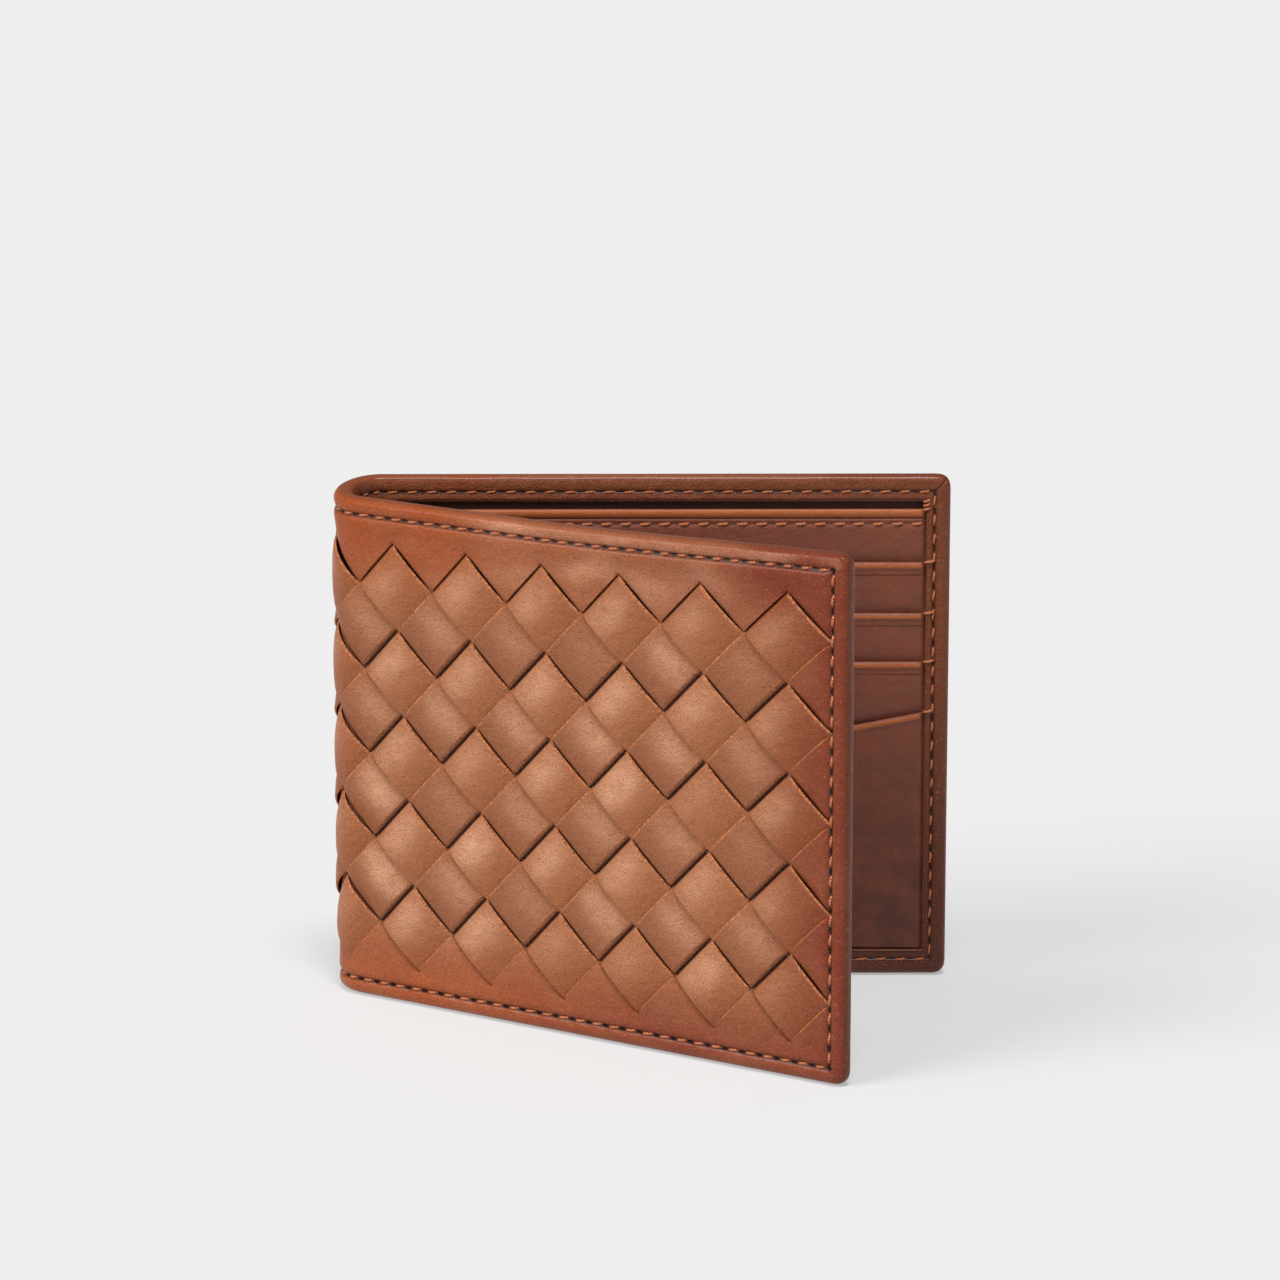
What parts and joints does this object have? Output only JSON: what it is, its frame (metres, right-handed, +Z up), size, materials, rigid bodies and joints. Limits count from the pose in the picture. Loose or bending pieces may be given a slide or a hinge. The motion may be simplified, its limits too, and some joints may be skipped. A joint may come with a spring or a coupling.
{
  "type": "bifold wallet",
  "caption": "Bifold wallet of diagonally woven leather, half open and standing on its lower edge, with card pockets and a full-width bill compartment inside.",
  "frame": {"origin": "middle of the half-open wallet's footprint, on the surface it stands on", "axes": "+Z up along the fold; the back cover lies along +X with the fold at -X; the back cover's outer face points to +Y and the front cover opens towards -Y"},
  "size_m": [0.1124, 0.0728, 0.095],
  "materials": {
    "woven_leather": "smooth cognac calf, darker burnished edges",
    "strip_leather": "smooth cognac calf strips with raw cut edges",
    "inner_leather": "smooth dark tan leather, rolled and creased edges",
    "lining": "matt woven lining",
    "thread": "waxed tan thread"
  },
  "bodies": {
    "back_cover": {"back_cover_leather": "woven_leather", "back_bill_lining": "lining", "back_bill_divider": "inner_leather", "back_slip_panel": "inner_leather", "back_card_pocket_1": "inner_leather", "back_card_pocket_2": "inner_leather", "back_card_pocket_3": "inner_leather", "back_slant_pocket": "inner_leather", "back_edge_thread": "thread", "back_divider_thread": "thread", "back_strip_01": "strip_leather", "back_strip_02": "strip_leather", "back_strip_03": "strip_leather", "back_strip_04": "strip_leather", "back_strip_05": "strip_leather", "back_strip_06": "strip_leather", "back_strip_07": "strip_leather", "back_strip_08": "strip_leather", "back_strip_09": "strip_leather", "back_strip_10": "strip_leather", "back_strip_11": "strip_leather", "back_strip_12": "strip_leather"},
    "spine": {"spine_leather": "woven_leather", "spine_lining": "lining", "spine_divider": "inner_leather", "spine_thread_bottom": "thread", "spine_thread_top": "thread"},
    "front_cover": {"front_cover_leather": "woven_leather", "front_bill_lining": "lining", "front_bill_divider": "inner_leather", "front_slip_panel": "inner_leather", "front_card_pocket_1": "inner_leather", "front_card_pocket_2": "inner_leather", "front_card_pocket_3": "inner_leather", "front_slant_pocket": "inner_leather", "front_edge_thread": "thread", "front_divider_thread": "thread", "front_strip_01": "strip_leather", "front_strip_02": "strip_leather", "front_strip_03": "strip_leather", "front_strip_04": "strip_leather", "front_strip_05": "strip_leather", "front_strip_06": "strip_leather", "front_strip_07": "strip_leather", "front_strip_08": "strip_leather", "front_strip_09": "strip_leather", "front_strip_10": "strip_leather", "front_strip_11": "strip_leather", "front_strip_12": "strip_leather"}
  },
  "joints": [
    {"name": "fold_back", "type": "hinge", "parent": "back_cover", "child": "spine", "pos_m": [-0.05286, 0.03477, 0.0475], "axis": [0, 0, -1], "range_deg": [-16.75, 73.25]},
    {"name": "fold_front", "type": "hinge", "parent": "spine", "child": "front_cover", "pos_m": [-0.05575, 0.02517, 0.0475], "axis": [0, 0, -1], "range_deg": [-16.75, 73.25]}
  ],
  "couplings": [
    {"joint": "fold_front", "follows": "fold_back", "ratio": 1}
  ]
}
